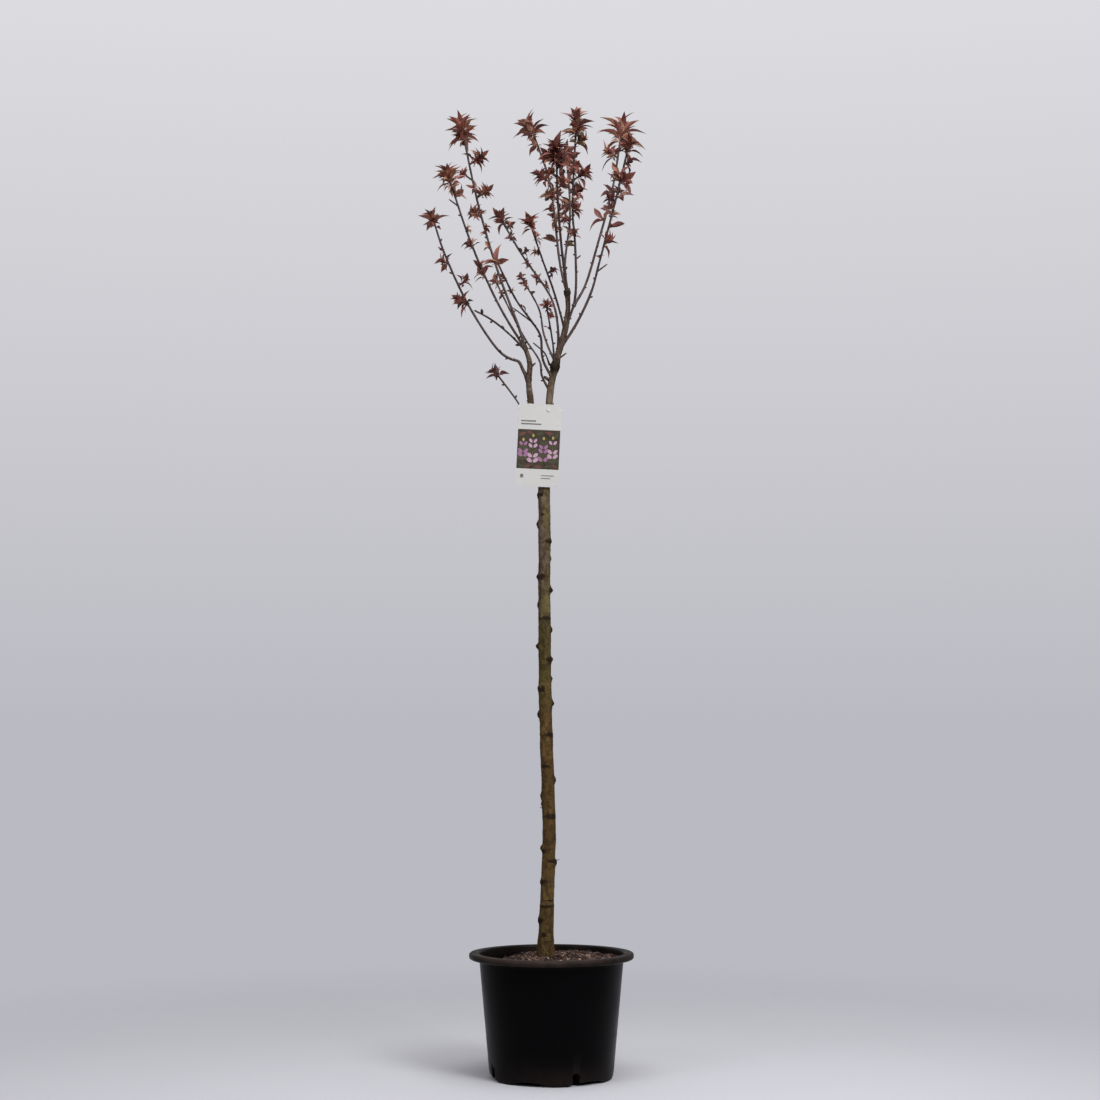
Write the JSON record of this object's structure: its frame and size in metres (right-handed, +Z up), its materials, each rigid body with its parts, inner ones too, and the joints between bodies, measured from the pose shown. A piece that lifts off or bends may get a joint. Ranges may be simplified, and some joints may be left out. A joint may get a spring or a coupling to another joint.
{
  "type": "potted standard cherry tree",
  "caption": "Young standard cherry tree in a nursery pot: straight clear trunk, forked open crown of slim boughs with dark red spring leaves, and a hanging label card.",
  "frame": {"origin": "centre of the pot's flat underside", "axes": "+Z up along the trunk, +Y away from the viewer of the picture, +X to the viewer's right"},
  "size_m": [0.5015, 0.4038, 2.1303],
  "materials": {
    "pot": "satin black moulded plastic, soft grey sheen at the sides",
    "compost": "coarse chipped bark compost, rough, with pale flecks",
    "bark": "olive-brown young bark with darker bands and raised pores",
    "twig_bark": "smooth grey-brown to dark purple young bark",
    "leaves": "thin young leaves, dark red to bronze, slight sheen",
    "card": null,
    "tie": "translucent white plastic strap"
  },
  "bodies": {
    "root": {"pot": "pot", "soil": "compost", "trunk": "bark", "stem_left": "bark", "stem_right": "bark", "bough_low_left": "twig_bark", "bough_left_low": "twig_bark", "bough_left_bare": "twig_bark", "bough_left_mid": "twig_bark", "bough_left_tall": "twig_bark", "bough_inner_front": "twig_bark", "bough_inner_back": "twig_bark", "bough_inner_short": "twig_bark", "bough_inner_spur": "twig_bark", "bough_low_back": "twig_bark", "bough_centre_front": "twig_bark", "bough_centre_tall": "twig_bark", "bough_crown_front": "twig_bark", "bough_crown_back": "twig_bark", "bough_right_upright": "twig_bark", "bough_right_tall": "twig_bark", "bough_right_outer": "twig_bark", "leaves_low_left": "leaves", "leaves_left_low": "leaves", "leaves_left_mid": "leaves", "leaves_left_tall": "leaves", "leaves_inner_front": "leaves", "leaves_inner_back": "leaves", "leaves_inner_short": "leaves", "leaves_inner_spur": "leaves", "leaves_low_back": "leaves", "leaves_centre_front": "leaves", "leaves_centre_tall": "leaves", "leaves_crown_front": "leaves", "leaves_crown_back": "leaves", "leaves_right_upright": "leaves", "leaves_right_tall": "leaves", "leaves_right_outer": "leaves", "label_card": "card", "label_tie": "tie"}
  },
  "joints": []
}
